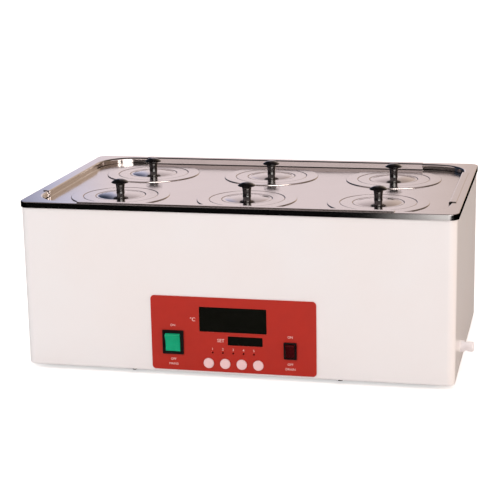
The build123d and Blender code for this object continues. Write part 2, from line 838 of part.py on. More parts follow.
def switch_housing(x, z, bezel_w, bezel_h, w, h):
    """Switch body behind a bezel, hollow in front for the rocker and bored for its pins."""
    px, pz = panel_x + x, panel_z + z
    body_w, body_h = switch_body(bezel_w, bezel_h)
    front = panel_y - bezel_t
    bezel = front_plate(px, pz, bezel_w, bezel_h, bezel_round, front, panel_y)
    bezel = chamfer(bezel.faces().sort_by(Axis.Y)[0].edges(), bezel_edge)
    play = panel_play
    body = front_block(px, pz, body_w - 2 * play, body_h - 2 * play, panel_y, panel_y + switch_depth)
    pocket_y = pivot_y() + rocker_back + h / 2 * tan(radians(rocker_tilt)) + rocker_play
    pocket = front_block(px, pz, w + 2 * rocker_play, 2 * (rocker_reach(h) + rocker_play), front, pocket_y)
    housing = bezel + body - pocket
    pin = w / 2 + rocker_play + pivot_l + pivot_play
    return housing - rod_x(pivot_y(), pz, pivot_r + pivot_play, px - pin, px + pin)


# Rear fittings

def mains_gland():
    """Cord gland: hexagon body through the cover, dome nut outside, locknut inside."""
    z = case_lift + gland_rise
    y0 = rear_y - gland_in
    face = rear_y + case_sheet
    end = face + gland_out
    nut = extrude(Plane.XZ * RegularPolygon(gland_nut_r, 6), gland_nut_l)
    body = Pos(gland_x, face + gland_nut_l, z) * nut
    body += rod_y(gland_x, z, gland_thread_r, y0, end - gland_dome_t)
    body -= rod_y(gland_x, z, gland_bore_r, y0, end - gland_dome_t)
    dome = rod_y(gland_x, z, gland_dome_r, face + gland_nut_l, end)
    dome = chamfer(dome.faces().sort_by(Axis.Y)[-1].edges(), gland_dome_edge)
    dome -= rod_y(gland_x, z, gland_thread_r + hole_play, face + gland_nut_l, end - gland_dome_t)
    dome -= rod_y(gland_x, z, gland_bore_r, face + gland_nut_l, end)
    lock = Pos(gland_x, rear_y, z) * nut
    lock -= rod_y(gland_x, z, gland_thread_r + hole_play, y0, rear_y)
    return group(body, dome, lock)


def fuse_holder():
    z = case_lift + gland_rise
    face = rear_y + case_sheet
    body = rod_y(fuse_x, z, fuse_body_r, face - fuse_body_l, face)
    body += rod_y(fuse_x, z, fuse_flange_r, face, face + fuse_flange_t)
    return body - rod_y(fuse_x, z, fuse_bore_r, face - fuse_body_l + fuse_floor, face + fuse_flange_t)


def fuse_cap():
    """Bayonet cap with a screwdriver slot, turned by a quarter to free the fuse."""
    z = case_lift + gland_rise
    face = rear_y + case_sheet + fuse_flange_t
    end = face + fuse_gap + fuse_cap_l
    cap = rod_y(fuse_x, z, fuse_cap_r, face + fuse_gap, end)
    cap = chamfer(cap.faces().sort_by(Axis.Y)[-1].edges(), fuse_cap_edge)
    cap += rod_y(fuse_x, z, fuse_bore_r - fuse_stem_play, face - fuse_stem_l, face + fuse_gap)
    return cap - front_block(fuse_x, z, 2 * fuse_cap_r, fuse_slot_w, end - fuse_slot_h, end)


# Parts on the base plate

def power_supply():
    z1 = base_top + supply_h
    x0, x1 = supply_x - supply_w / 2, supply_x + supply_w / 2
    y0, y1 = supply_y - supply_d / 2, supply_y + supply_d / 2
    case = block(x0, x1, y0, y1, base_top, z1)
    ledge = x0 + supply_wall
    case -= block(ledge, ledge + supply_ledge_w, y0, y1, base_top + supply_ledge_h, z1)
    slot = extrude(SlotOverall(supply_slot_l, supply_slot_w), supply_slot_h)
    for i in range(supply_slots):
        y = supply_y + (i - (supply_slots - 1) / 2) * supply_slot_pitch
        case -= Pos(supply_x, y, z1 - supply_slot_h) * slot
    return case


def heat_sink():
    """Finned sink on edge along X, flat on top for the relay."""
    x0 = sink_x - sink_w / 2
    y0, y1 = sink_y - sink_d / 2, sink_y + sink_d / 2
    top = base_top + sink_fin_h + sink_base
    sink = block(x0, x0 + sink_w, y0, y1, top - sink_base, top)
    for i in range(sink_fins):
        x = x0 + i * (sink_w - sink_fin_t) / (sink_fins - 1)
        sink += block(x, x + sink_fin_t, y0, y1, base_top, top - sink_base)
    return sink


def heater_relay():
    z0 = base_top + sink_fin_h + sink_base
    half_w, half_d = relay_w / 2, relay_d / 2
    relay = block(sink_x - half_w, sink_x + half_w, sink_y - half_d, sink_y + half_d, z0, z0 + relay_h)
    for side in (-1, 1):
        end = sink_y + side * (half_d - relay_notch_w / 2)
        relay -= block(sink_x - half_w, sink_x + half_w, end - relay_notch_w / 2, end + relay_notch_w / 2,
                       z0 + relay_h - relay_notch_h, z0 + relay_h)
    return relay


def terminal_strip():
    x0 = strip_block_x - strip_block_w / 2
    y0 = strip_block_y - strip_block_d / 2
    z1 = base_top + strip_block_h
    strip = block(x0, x0 + strip_block_w, y0, y0 + strip_block_d, base_top, z1)
    for i in range(1, strip_block_ways):
        x = x0 + i * strip_block_w / strip_block_ways
        strip -= block(x - strip_block_slot / 2, x + strip_block_slot / 2, y0, y0 + strip_block_d,
                       z1 - strip_block_cut, z1)
    return strip


nodes = {
    "outer_case": outer_case(),
    "rear_cover": rear_cover(),
    "base_plate": base_plate(),
    "case_screws": case_screws(),
    "rubber_feet": rubber_feet(),
    "tank": tank(),
    "insulation": insulation(),
    "tank_shelf": tank_shelf(),
    "heater": heater(),
    "floor_fittings": floor_fittings(),
    "temperature_probe": temperature_probe(),
    "thermal_cutout": thermal_cutout(),
    "lid_plate": lid_plate(),
    "drain_nozzle": drain_nozzle(),
    "drain_valve": drain_valve(),
    "drain_hose": drain_hose(),
    "control_panel": control_panel(),
    "process_display": display(0, display_z, display_w, display_h),
    "setpoint_display": display(setpoint_x, setpoint_z, setpoint_w, setpoint_h),
    "indicator_lamps": indicator_lamps(),
    "controller_board": controller_board(),
    "power_switch": switch_housing(power_x, power_z, power_bezel_w, power_bezel_h,
                                   power_rocker_w, power_rocker_h),
    "power_rocker": rocker(power_x, power_z, power_rocker_w, power_rocker_h),
    "outlet_switch": switch_housing(outlet_x, outlet_z, outlet_bezel_w, outlet_bezel_h,
                                    outlet_rocker_w, outlet_rocker_h),
    "outlet_rocker": rocker(outlet_x, outlet_z, outlet_rocker_w, outlet_rocker_h),
    "mains_gland": mains_gland(),
    "fuse_holder": fuse_holder(),
    "fuse_cap": fuse_cap(),
    "power_supply": power_supply(),
    "heat_sink": heat_sink(),
    "heater_relay": heater_relay(),
    "terminal_strip": terminal_strip(),
}
for name in key_names:
    nodes[f"{name}_key"] = key(name)
well_parts = {"outer_ring": outer_ring(), "inner_ring": inner_ring(), "cover": well_cover(),
              "knob": knob()}
for well, (x, y) in wells.items():
    for name, part in well_parts.items():
        nodes[f"{name}_{well}"] = Pos(x, y, 0) * part

os.makedirs("parts", exist_ok=True)
for name, part in nodes.items():
    export_step(part, f"parts/{name}.step")
print(len(nodes), "nodes written")
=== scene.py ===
from math import acos, cos, hypot, pi, radians, sin, tan

import bmesh
import bpy
from mathutils import Euler, Matrix, Vector


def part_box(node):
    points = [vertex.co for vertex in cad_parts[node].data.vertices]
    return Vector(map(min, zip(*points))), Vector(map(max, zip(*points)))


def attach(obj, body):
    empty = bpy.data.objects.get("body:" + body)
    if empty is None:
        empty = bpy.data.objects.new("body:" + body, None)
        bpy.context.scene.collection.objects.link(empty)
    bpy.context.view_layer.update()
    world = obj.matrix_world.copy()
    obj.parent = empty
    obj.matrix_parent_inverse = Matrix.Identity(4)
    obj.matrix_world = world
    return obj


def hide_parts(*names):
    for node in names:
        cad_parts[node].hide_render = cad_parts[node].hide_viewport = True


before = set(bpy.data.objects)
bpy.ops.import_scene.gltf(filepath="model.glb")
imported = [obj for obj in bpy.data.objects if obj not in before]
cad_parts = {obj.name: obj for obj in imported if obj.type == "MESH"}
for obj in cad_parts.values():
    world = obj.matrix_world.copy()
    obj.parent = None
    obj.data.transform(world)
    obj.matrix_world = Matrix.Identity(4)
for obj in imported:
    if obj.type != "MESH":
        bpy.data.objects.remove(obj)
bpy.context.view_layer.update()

bl_info = {
    "name": "Water bath",
    "version": (1, 0, 0),
    "blender": (4, 5, 0),
    "location": "View3D > Sidebar > Water bath",
    "description": "Dresses the packed water bath: enamelled case, polished lid, wells and controls",
    "category": "Object",
}

MM = 0.001
WELLS = [f"{row}_{column}" for row in ("front", "rear") for column in ("left", "middle", "right")]
KEYS = ("set_key", "left_key", "down_key", "up_key")

# Well parts, in millimetres: seat and bore radii of the rings, sheet, step, cover rim, land and stud
RING_SEATS = {"outer": 45.6, "inner": 30.6}
RING_BORES = {"outer": 32.2, "inner": 21.6}
RING_SHEET = 1.0
RING_STEP = 1.2
COVER_RIM = 2.5
COVER_LAND = 8.5
STUD_R = 1.9
KNOB_CROWN = 4.2
STRIP_REACH = 8.0
STRIP_BAND = 4.5
STRIP_LEAN = 14

# The tank's flange: plan corner, radius of the bend to its lip, and how much of that bend shows
FLANGE_CORNER = 11.5
LIP_BEND = 1.8
LIP_TIGHT = 0.4

# The camera was fitted to the edges of the case, in an image of 500 by 500
IMAGE = 500
FOCAL_PX = 1458.53
SENSOR_MM = 36.0
CAMERA_AT = Vector((0.38342, -1.73069, 0.55635))
CAMERA_YAW = -0.2256
CAMERA_PITCH = 0.2417
CAMERA_ROLL = -0.0187

# The room that the steel mirrors: colours by the angle in radians from straight back and straight ahead,
# how bright each wall is by the upward part of a ray, and a bright box ahead on the right
BACK_ROOM = (
    (-0.46, "#2E3848"), (-0.425, "#39445A"), (-0.385, "#9FA3BE"), (-0.355, "#DADAF2"), (-0.32, "#F3E5E8"),
    (-0.13, "#F1E3E5"), (-0.06, "#D8C6BE"), (0.25, "#E8D2BC"), (0.6, "#8C7A6C"))
FRONT_ROOM = (
    (-1.2, "#16130F"), (-0.42, "#1B1A16"), (-0.02, "#23221C"), (0.12, "#FFFCFA"), (0.95, "#FFF6F0"),
    (1.1, "#8A7668"))
BRIGHT_BOX = ((0.02, "#000000"), (0.16, "#FFFFFF"), (0.9, "#FFFFFF"), (1.05, "#000000"))
BOX_GAIN = 5.0
FRONT_WALL = "#EBDCDC"
FRONT_WALL_RISE = ((0.235, 0.0), (0.27, 1.0))
FRONT_FADE = ((0.26, 1.0), (0.42, 0.95), (0.7, 0.6), (0.78, 0.02))
BACK_FADE = ((0.30, 1.0), (0.62, 0.5), (0.9, 0.03))

# Plain light from all round: colour and strength, and the same from the far right
SOFT_LIGHT = ("#FFF8F6", 0.62)
RIGHT_LIGHT = ("#FFE9DA", 0.85)

# Soft boxes: name, place and size in metres, watts and colour
LAMPS = (
    ("front_box", (-0.9, -2.2, 1.9), (1.6, 1.2), 25.5, "#FFFAF8"),
    ("top_box", (0.1, 0.2, 2.4), (2.0, 1.4), 14, "#FFFAF8"),
    ("side_box", (2.0, -0.3, 0.35), (0.9, 0.7), 11, "#FFE4D0"),
)

# The knob's stem as radius and height above its foot, up to the underside of its cap, in millimetres
KNOB_STEM = ((5.2, 0), (5.1, 0.5), (4.9, 1.4), (4.88, 2.8), (5.0, 5.5), (5.25, 8.0), (5.6, 10.2),
             (5.95, 11.2), (6.7, 11.8), (8.2, 12.15))
CAP_EDGE = 0.5
CAP_EDGE_H = 12.5
STUD_HOLE_H = 10
THREAD_PLAY = 0.05

# Plain words on the panel: name, text, place from its middle in millimetres, and height as a share of
# the small or the large print
PANEL_WORDS = (
    ("large_label", "°C", -48.0, 17.8, "large", 1.0),
    ("small_label", "SET", -14.6, -6.7, "large", 0.85),
    ("power_on", "ON", -72.2, 9.6, "small", 1.0), ("power_off", "OFF", -72.2, -31.8, "small", 1.0),
    ("power_word", "MAINS", -72.2, -37.6, "small", 1.0), ("drain_on", "ON", 67.9, 1.4, "small", 1.0),
    ("drain_off", "OFF", 67.9, -31.6, "small", 1.0), ("drain_word", "DRAIN", 67.9, -37.4, "small", 1.0),
)
LAMP_COUNT = 5
LAMP_PITCH = 12.35
LAMP_NUMBER_Z = -17.2


# Colours and nodes

def linear(hex_colour):
    """An sRGB hex colour as linear red, green, blue and alpha."""
    parts = [int(hex_colour[i:i + 2], 16) / 255 for i in (1, 3, 5)]
    return [p / 12.92 if p <= 0.04045 else ((p + 0.055) / 1.055) ** 2.4 for p in parts] + [1.0]


def add(tree, kind, links=None, **values):
    """A node with its settings, the values of its sockets and the links into it."""
    node = tree.nodes.new(kind)
    sockets = values.pop("sockets", {})
    for name, value in values.items():
        setattr(node, name, value)
    for name, value in sockets.items():
        node.inputs[name].default_value = value
    for name, source in (links or {}).items():
        tree.links.new(source, node.inputs[name])
    return node


def material(name, colour, roughness, metallic=0.0, ior=1.5, coat=0.0, coat_roughness=0.1, transmission=0.0):
    """A Principled material, its tree and its shader, ready for the patterns that each finish adds."""
    made = bpy.data.materials.new(name)
    made.use_nodes = True
    tree = made.node_tree
    shader = tree.nodes["Principled BSDF"]
    shader.inputs["Base Color"].default_value = linear(colour)
    shader.inputs["Roughness"].default_value = roughness
    shader.inputs["Metallic"].default_value = metallic
    shader.inputs["Coat Weight"].default_value = coat
    shader.inputs["Coat Roughness"].default_value = coat_roughness
    shader.inputs["Transmission Weight"].default_value = transmission
    if not metallic:
        shader.inputs["IOR"].default_value = ior
    made.diffuse_color = linear(colour)
    return made, tree, shader


def object_pattern(tree, kind, size_mm, stretch=(1, 1, 1), **settings):
    """A texture on Object coordinates whose features are about size_mm across."""
    place = add(tree, "ShaderNodeTexCoord")
    turned = add(tree, "ShaderNodeMapping", {"Vector": place.outputs["Object"]}, sockets={"Scale": stretch})
    return add(tree, kind, {"Vector": turned.outputs["Vector"]},
               sockets={"Scale": 1 / (size_mm * MM)} | settings.pop("sockets", {}), **settings)


def bumped(tree, shader, height, depth_mm, strength=1.0, under=None):
    """Feeds a height to the shader's normal, on top of an earlier bump where one is given."""
    links = {"Height": height}
    if under:
        links["Normal"] = under.outputs["Normal"]
    bump = add(tree, "ShaderNodeBump", links, sockets={"Distance": depth_mm * MM, "Strength": strength})
    tree.links.new(bump.outputs["Normal"], shader.inputs["Normal"])
    return bump


def varied(tree, shader, socket, factor, low, high):
    """Lets a pattern move a shader value between low and high."""
    span = add(tree, "ShaderNodeMapRange", {"Value": factor}, sockets={"To Min": low, "To Max": high})
    tree.links.new(span.outputs["Result"], shader.inputs[socket])


def tinted(tree, shader, factor, first, second):
    """Lets a pattern mix the base colour between two hex colours."""
    mix = add(tree, "ShaderNodeMix", {"Factor": factor}, data_type="RGBA",
              sockets={6: linear(first), 7: linear(second)})
    tree.links.new(mix.outputs[2], shader.inputs["Base Color"])


def baked_enamel(name, light, dark):
    """Stove enamel on sheet steel: glossy, with a fine orange peel that softens reflections."""
    made, tree, shader = material(name, light, 0.32, ior=1.52, coat=0.25, coat_roughness=0.12)
    clouds = object_pattern(tree, "ShaderNodeTexNoise", 90, sockets={"Detail": 2.0})
    tinted(tree, shader, clouds.outputs["Fac"], light, dark)
    peel = object_pattern(tree, "ShaderNodeTexNoise", 1.4, sockets={"Detail": 1.0})
    bumped(tree, shader, peel.outputs["Fac"], 0.012)
    return made


def polished_stainless(name, colour, roughness, wave_mm):
    """Polished 304 sheet: a soft mirror, slightly wavy from pressing, with fine rolling lines."""
    made, tree, shader = material(name, colour, roughness, metallic=1.0)
    wave = object_pattern(tree, "ShaderNodeTexNoise", 70, sockets={"Detail": 1.0})
    first = bumped(tree, shader, wave.outputs["Fac"], wave_mm)
    lines = object_pattern(tree, "ShaderNodeTexNoise", 1.0, stretch=(0.02, 1, 1), sockets={"Detail": 2.0})
    bumped(tree, shader, lines.outputs["Fac"], 0.004, under=first)
    smears = object_pattern(tree, "ShaderNodeTexNoise", 35, sockets={"Detail": 3.0})
    varied(tree, shader, "Roughness", smears.outputs["Fac"], roughness * 0.75, roughness * 1.35)
    return made


def satin_steel(name, colour, roughness=0.38):
    """Plated or drawn steel: a dull metal with small uneven patches."""
    made, tree, shader = material(name, colour, roughness, metallic=1.0)
    patches = object_pattern(tree, "ShaderNodeTexVoronoi", 6)
    varied(tree, shader, "Roughness", patches.outputs["Distance"], roughness * 0.8, roughness * 1.2)
    grain = object_pattern(tree, "ShaderNodeTexNoise", 0.8, sockets={"Detail": 2.0})
    bumped(tree, shader, grain.outputs["Fac"], 0.01)
    return made


def moulded_plastic(name, light, dark, roughness, ior=1.5, grain_mm=0.6, depth_mm=0.01, **more):
    """Injection-moulded plastic: even colour, faint flow clouds and a fine spark-eroded grain."""
    made, tree, shader = material(name, light, roughness, ior=ior, **more)
    clouds = object_pattern(tree, "ShaderNodeTexNoise", 12, sockets={"Detail": 1.0})
    tinted(tree, shader, clouds.outputs["Fac"], light, dark)
    varied(tree, shader, "Roughness", clouds.outputs["Fac"], roughness * 0.85, roughness * 1.15)
    grain = object_pattern(tree, "ShaderNodeTexNoise", grain_mm, sockets={"Detail": 1.0})
    bumped(tree, shader, grain.outputs["Fac"], depth_mm)
    return made


def printed_ink(name, light, dark):
    """Screen-printed ink: flat, slightly chalky, thinner in small spots."""
    made, tree, shader = material(name, light, 0.55)
    spots = object_pattern(tree, "ShaderNodeTexNoise", 0.7, sockets={"Detail": 2.0})
    tinted(tree, shader, spots.outputs["Fac"], light, dark)
    return made


def mineral_wool(name):
    """Pressed mineral wool: matt yellowish fibres."""
    made, tree, shader = material(name, "#CDBE96", 0.95)
    fibres = object_pattern(tree, "ShaderNodeTexNoise", 2.2, stretch=(1, 1, 3), sockets={"Detail": 5.0})
    tinted(tree, shader, fibres.outputs["Fac"], "#D8CBA6", "#A8976C")
    bumped(tree, shader, fibres.outputs["Fac"], 0.6)
    return made


# Mesh helpers

def finished(name, mesh, finish, body, replaces=(), crease=30):
    """Makes an object of a mesh, smooths it up to the crease angle and gives it to its body."""
    for polygon in mesh.polygons:
        polygon.use_smooth = True
    mesh.set_sharp_from_angle(angle=radians(crease))
    piece = bpy.data.objects.new(name, mesh)
    bpy.context.scene.collection.objects.link(piece)
    mesh.materials.clear()
    mesh.materials.append(finish)
    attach(piece, body)
    if replaces:
        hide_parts(*replaces)
    return piece


def merged_copy(node):
    """A copy of a CAD node's mesh with its loose triangles joined and its flat faces made whole."""
    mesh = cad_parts[node].data.copy()
    for extra in [a.name for a in mesh.attributes if a.name == "custom_normal"]:
        mesh.attributes.remove(mesh.attributes[extra])
    bm = bmesh.new()
    bm.from_mesh(mesh)
    bmesh.ops.remove_doubles(bm, verts=bm.verts, dist=0.0005 * MM)
    bmesh.ops.dissolve_limit(bm, angle_limit=radians(0.05), verts=bm.verts, edges=bm.edges)
    bm.to_mesh(mesh)
    bm.free()
    return mesh


def steady(piece):
    """Keeps flat faces flat in their shading where they run into a bend."""
    weighted = piece.modifiers.new("Flat faces first", "WEIGHTED_NORMAL")
    weighted.keep_sharp = True
    weighted.weight = 100


def dressed(node, finish, body, name, crease=30, bevel_mm=0.0):
    """A CAD node's own shape with smooth curves and, where asked, slightly rounded edges."""
    piece = finished(name, merged_copy(node), finish, body, replaces=(node,), crease=crease)
    if bevel_mm:
        soft = piece.modifiers.new("Rounded edges", "BEVEL")
        soft.width = bevel_mm * MM
        soft.segments = 2
        soft.limit_method = "ANGLE"
        soft.angle_limit = radians(crease)
        soft.harden_normals = True
    else:
        steady(piece)
    return piece


def rounded(points, radii, steps=4):
    """A closed outline with the corners that have a radius turned into arcs."""
    outline = []
    for i, (x, y) in enumerate(points):
        radius = radii.get(i, 0)
        if not radius:
            outline.append((x, y))
            continue
        (px, py), (nx, ny) = points[i - 1], points[(i + 1) % len(points)]
        a = Vector((px - x, py - y)).normalized()
        b = Vector((nx - x, ny - y)).normalized()
        half = acos(max(-1, min(1, a.dot(b)))) / 2
        reach = radius / tan(half)
        centre = Vector((x, y)) + (a + b).normalized() * (radius / sin(half))
        start = Vector((x, y)) + a * reach - centre
        end = Vector((x, y)) + b * reach - centre
        sweep = start.angle_signed(end)
        for step in range(steps + 1):
            turn = -sweep * step / steps
            outline.append((centre.x + start.x * cos(turn) - start.y * sin(turn),
                            centre.y + start.x * sin(turn) + start.y * cos(turn)))
    return outline


def lathe(outline, centre, segments=96):
    """A closed solid turned about Z through a centre, from an outline of (radius, height) in millimetres."""
    bm = bmesh.new()
    rings = []
    for r, z in outline:
        if r < 1e-6:
            rings.append([bm.verts.new((centre[0], centre[1], z * MM))])
            continue
        rings.append([bm.verts.new((centre[0] + r * MM * cos(2 * pi * i / segments),
                                    centre[1] + r * MM * sin(2 * pi * i / segments), z * MM))
                      for i in range(segments)])
    for lower, upper in zip(rings, rings[1:] + rings[:1]):
        if len(lower) == 1 and len(upper) == 1:
            continue
        for i in range(segments):
            j = (i + 1) % segments
            corners = [ring[k % len(ring)] for ring, k in ((lower, i), (lower, j), (upper, j), (upper, i))]
            bm.faces.new(list(dict.fromkeys(corners)))
    bmesh.ops.recalc_face_normals(bm, faces=bm.faces)
    mesh = bpy.data.meshes.new("turned")
    bm.to_mesh(mesh)
    bm.free()
    return mesh


def coloured(node, finish):
    """Gives a CAD node that keeps its own mesh its material."""
    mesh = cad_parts[node].data
    mesh.materials.clear()
    mesh.materials.append(finish)


def lettering(name, text, height, at, finish, body, turn=(pi / 2, 0, 0), thickness=0.04 * MM):
    """Printed text as a thin mesh, its height and middle given in metres."""
    curve = bpy.data.curves.new(name, "FONT")
    curve.body = text
    curve.align_x = "CENTER"
    curve.align_y = "CENTER"
    curve.size = 1.0
    probe = bpy.data.objects.new(name, curve)
    bpy.context.scene.collection.objects.link(probe)
    bpy.context.view_layer.update()
    scale = height / max(probe.dimensions.y, 1e-6)
    curve.extrude = thickness / scale
    bpy.context.view_layer.update()
    mesh = bpy.data.meshes.new_from_object(probe.evaluated_get(bpy.context.evaluated_depsgraph_get()))
    bpy.data.objects.remove(probe)
    low = [min(v.co[i] for v in mesh.vertices) for i in range(3)]
    high = [max(v.co[i] for v in mesh.vertices) for i in range(3)]
    mesh.transform(Matrix.Translation([-(a + b) / 2 for a, b in zip(low, high)]))
    mesh.transform(Matrix.Translation(at) @ Euler(turn).to_matrix().to_4x4() @ Matrix.Scale(scale, 4))
    return finished(name, mesh, finish, body)


# Sizes and colours a user may change

class BathColours(bpy.types.PropertyGroup):
    enamel: bpy.props.StringProperty(name="Enamel", description="Colour of the case", default="#F3F5F8")
    panel: bpy.props.StringProperty(name="Panel", description="Colour of the control panel",
                                    default="#BC2C1F")
    steel: bpy.props.StringProperty(name="Steel", description="Colour of the polished steel",
                                    default="#D9D2CF")
    knob: bpy.props.StringProperty(name="Knob", description="Colour of the knobs", default="#0B0A0A")
    power: bpy.props.StringProperty(name="Power rocker", description="Colour of the power rocker",
                                    default="#14B586")
    drain: bpy.props.StringProperty(name="Drain rocker", description="Colour of the drain rocker",
                                    default="#4A060C")


class BathSizes(bpy.types.PropertyGroup):
    small_print: bpy.props.FloatProperty(name="Small print", description="Height of the small capitals",
                                         default=2.7 * MM, subtype="DISTANCE", unit="LENGTH")
    large_print: bpy.props.FloatProperty(name="Large print", description="Height of the display labels",
                                         default=4.6 * MM, subtype="DISTANCE", unit="LENGTH")


def colours():
    return bpy.context.scene.bath_colours


def sizes():
    return bpy.context.scene.bath_sizes


class BATH_OT_stage(bpy.types.Operator):
    """Camera, lamps, floor and the room that the steel mirrors"""
    bl_idname = "bath.stage"
    bl_label = "Stage"

    def execute(self, context):
        scene = context.scene
        scene.view_settings.view_transform = "Standard"
        forward = Vector((sin(CAMERA_YAW) * cos(CAMERA_PITCH), cos(CAMERA_YAW) * cos(CAMERA_PITCH),
                          -sin(CAMERA_PITCH)))
        level = Vector((cos(CAMERA_YAW), -sin(CAMERA_YAW), 0))
        upright = level.cross(forward)
        right = level * cos(CAMERA_ROLL) + upright * sin(CAMERA_ROLL)
        up = upright * cos(CAMERA_ROLL) - level * sin(CAMERA_ROLL)
        camera = bpy.data.objects.new("camera", bpy.data.cameras.new("camera"))
        camera.data.sensor_width = SENSOR_MM
        camera.data.lens = FOCAL_PX / IMAGE * SENSOR_MM
        camera.data.clip_end = 50
        camera.matrix_world = Matrix((right, up, -forward)).transposed().to_4x4()
        camera.location = CAMERA_AT
        scene.collection.objects.link(camera)
        scene.camera = camera

        self.world(scene)
        self.lamps(scene)
        self.floor(scene)
        return {"FINISHED"}

    def world(self, scene):
        """White to the camera, plain soft light to the object, and a room for the steel to mirror."""
        scene.world = bpy.data.worlds.new("studio")
        scene.world.use_nodes = True
        tree = scene.world.node_tree
        tree.nodes.clear()
        place = add(tree, "ShaderNodeTexCoord")
        axes = add(tree, "ShaderNodeSeparateXYZ", {"Vector": place.outputs["Generated"]})
        back = self.compass(tree, axes, False, BACK_ROOM)
        ahead = self.compass(tree, axes, True, FRONT_ROOM)
        box = self.compass(tree, axes, True, BRIGHT_BOX)
        bright = add(tree, "ShaderNodeMath", {0: box}, operation="MULTIPLY_ADD",
                     sockets={1: BOX_GAIN, 2: 1.0})
        wall = self.falloff(tree, axes, FRONT_WALL_RISE)
        ahead = add(tree, "ShaderNodeMix", {"Factor": wall, 6: ahead}, data_type="RGBA",
                    sockets={7: linear(FRONT_WALL)}).outputs[2]
        side = add(tree, "ShaderNodeMath", {0: axes.outputs["Y"]}, operation="GREATER_THAN", sockets={1: 0.0})
        room = add(tree, "ShaderNodeMix", {"Factor": side.outputs[0], 6: ahead, 7: back}, data_type="RGBA")
        low_back = self.falloff(tree, axes, BACK_FADE)
        fade = self.falloff(tree, axes, FRONT_FADE)
        glare = add(tree, "ShaderNodeMath", {0: bright.outputs[0], 1: fade}, operation="MULTIPLY")
        low_front = add(tree, "ShaderNodeMix", {"Factor": wall, 2: glare.outputs[0], 3: fade},
                        data_type="FLOAT").outputs[0]
        level = add(tree, "ShaderNodeMix", {"Factor": side.outputs[0], 2: low_front, 3: low_back},
                    data_type="FLOAT")
        mirror = add(tree, "ShaderNodeBackground", {"Color": room.outputs[2], "Strength": level.outputs[0]})
        warm = add(tree, "ShaderNodeMapRange", {"Value": axes.outputs["X"]},
                   sockets={"From Min": 0.3, "From Max": 1.0, "To Min": 0.0, "To Max": 1.0})
        sky = add(tree, "ShaderNodeMix", {"Factor": warm.outputs[0]}, data_type="RGBA",
                  sockets={6: linear(SOFT_LIGHT[0]), 7: linear(RIGHT_LIGHT[0])})
        level_of_sky = add(tree, "ShaderNodeMapRange", {"Value": warm.outputs[0]},
                           sockets={"To Min": SOFT_LIGHT[1], "To Max": RIGHT_LIGHT[1]})
        soft = add(tree, "ShaderNodeBackground",
                   {"Color": sky.outputs[2], "Strength": level_of_sky.outputs[0]})
        white = add(tree, "ShaderNodeBackground", sockets={"Strength": 1.0, "Color": (1, 1, 1, 1)})
        rays = add(tree, "ShaderNodeLightPath")
        seen = add(tree, "ShaderNodeMixShader", {"Fac": rays.outputs["Is Glossy Ray"],
                                                 1: soft.outputs[0], 2: mirror.outputs[0]})
        whole = add(tree, "ShaderNodeMixShader", {"Fac": rays.outputs["Is Camera Ray"],
                                                  1: seen.outputs[0], 2: white.outputs[0]})
        add(tree, "ShaderNodeOutputWorld", {"Surface": whole.outputs[0]})

    def compass(self, tree, axes, facing, stops):
        """The room's colour by the angle to either side of straight back, or of straight ahead."""
        y = axes.outputs["Y"]
        if facing:
            y = add(tree, "ShaderNodeMath", {0: y}, operation="MULTIPLY", sockets={1: -1.0}).outputs[0]
        angle = add(tree, "ShaderNodeMath", {0: axes.outputs["X"], 1: y}, operation="ARCTAN2")
        first, last = stops[0][0], stops[-1][0]
        place = add(tree, "ShaderNodeMapRange", {"Value": angle.outputs[0]},
                    sockets={"From Min": first, "From Max": last})
        ramp = add(tree, "ShaderNodeValToRGB", {"Fac": place.outputs["Result"]})
        marks = ramp.color_ramp.elements
        marks[0].color, marks[1].color = linear(stops[0][1]), linear(stops[-1][1])
        for value, colour in stops[1:-1]:
            marks.new((value - first) / (last - first)).color = linear(colour)
        return ramp.outputs["Color"]

    def falloff(self, tree, axes, stops):
        """How bright the room is at each height, as pairs of upward direction and strength."""
        ramp = add(tree, "ShaderNodeValToRGB", {"Fac": axes.outputs["Z"]})
        marks = ramp.color_ramp.elements
        marks[0].position, marks[1].position = stops[0][0], stops[-1][0]
        for mark, (_, value) in ((marks[0], stops[0]), (marks[1], stops[-1])):
            mark.color = (value, value, value, 1)
        for place, value in stops[1:-1]:
            marks.new(place).color = (value, value, value, 1)
        return ramp.outputs["Color"]

    def lamp(self, scene, name, at, size, power, colour, glossy=False):
        """A soft box that faces the middle of the bath."""
        data = bpy.data.lights.new(name, "AREA")
        data.shape = "RECTANGLE"
        data.size, data.size_y = size
        data.energy = power
        data.color = linear(colour)[:3]
        box = bpy.data.objects.new(name, data)
        box.location = at
        box.rotation_euler = (Vector((0, 0, 0.1)) - Vector(at)).to_track_quat("-Z", "Y").to_euler()
        box.visible_glossy = glossy
        scene.collection.objects.link(box)
        return box

    def lamps(self, scene):
        for settings in LAMPS:
            self.lamp(scene, *settings)

